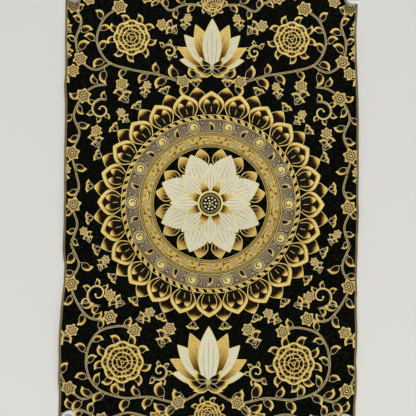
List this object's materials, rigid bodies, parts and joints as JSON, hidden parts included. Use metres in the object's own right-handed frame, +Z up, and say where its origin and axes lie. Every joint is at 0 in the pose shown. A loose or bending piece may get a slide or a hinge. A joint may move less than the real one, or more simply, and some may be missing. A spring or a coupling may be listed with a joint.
{
  "type": "woven thangka panel with corner magnets",
  "caption": "Upright rectangular panel of figured brocade, with one storage fold across its middle, held flat to a board by a round magnet on each corner.",
  "frame": {"origin": "middle of the cloth's top edge, on the face of the board that the cloth lies against", "axes": "+X to the right of a viewer who faces the cloth, +Y into the board, +Z up"},
  "size_m": [0.6055, 0.0145, 0.9017],
  "materials": {
    "cloth": "black satin ground with gold, ivory and taupe figured weave",
    "magnet": "pale, smooth, slightly glossy"
  },
  "bodies": {
    "root": {"cloth": "cloth", "magnet_top_left": "magnet", "magnet_top_right": "magnet", "magnet_bottom_left": "magnet", "magnet_bottom_right": "magnet"}
  },
  "joints": []
}
